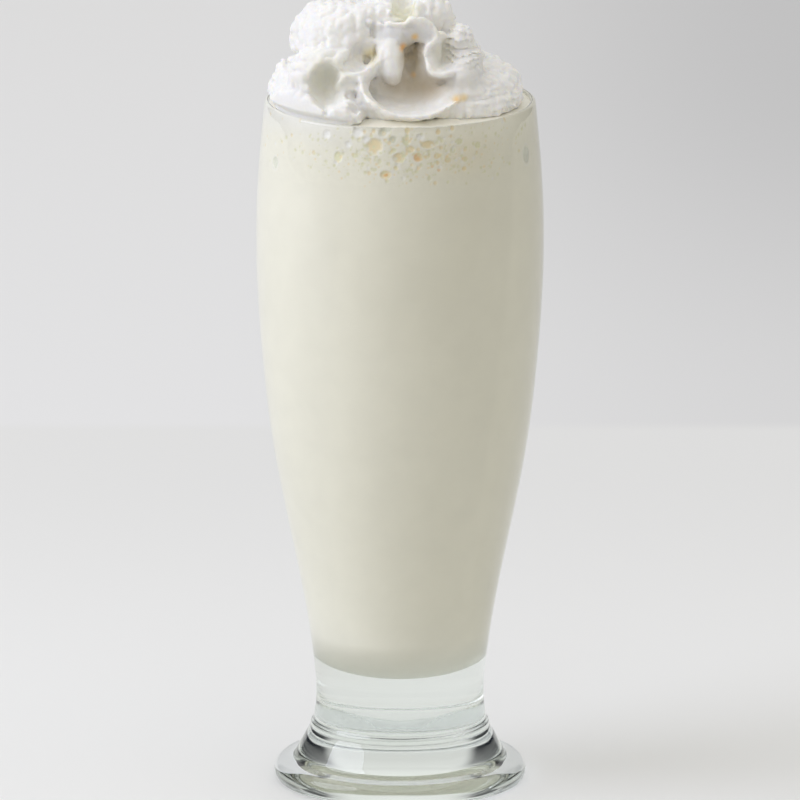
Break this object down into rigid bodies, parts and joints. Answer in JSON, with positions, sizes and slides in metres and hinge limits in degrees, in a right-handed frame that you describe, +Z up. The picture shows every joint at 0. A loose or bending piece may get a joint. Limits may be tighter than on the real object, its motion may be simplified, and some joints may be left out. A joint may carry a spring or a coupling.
{
  "type": "yogurt frappe",
  "caption": "Tall footed drinking glass, brimful of pale yogurt frappe with a frothy top, under a torn swirl of whipped cream.",
  "frame": {"origin": "centre of the foot's underside, on the surface that the glass stands on", "axes": "+Z up along the glass's axis; the front of the cream swirl, with its open bowl-shaped fold, faces -Y"},
  "size_m": [0.0758, 0.0758, 0.2145],
  "materials": {
    "glass": "clear, smooth",
    "drink": "smooth liquid",
    "froth": "wet froth with bubbles",
    "whipped_cream": "soft, torn, slightly moist"
  },
  "bodies": {
    "root": {"glass": "glass", "drink": "drink", "froth": "froth", "whipped_cream": "whipped_cream"}
  },
  "joints": []
}
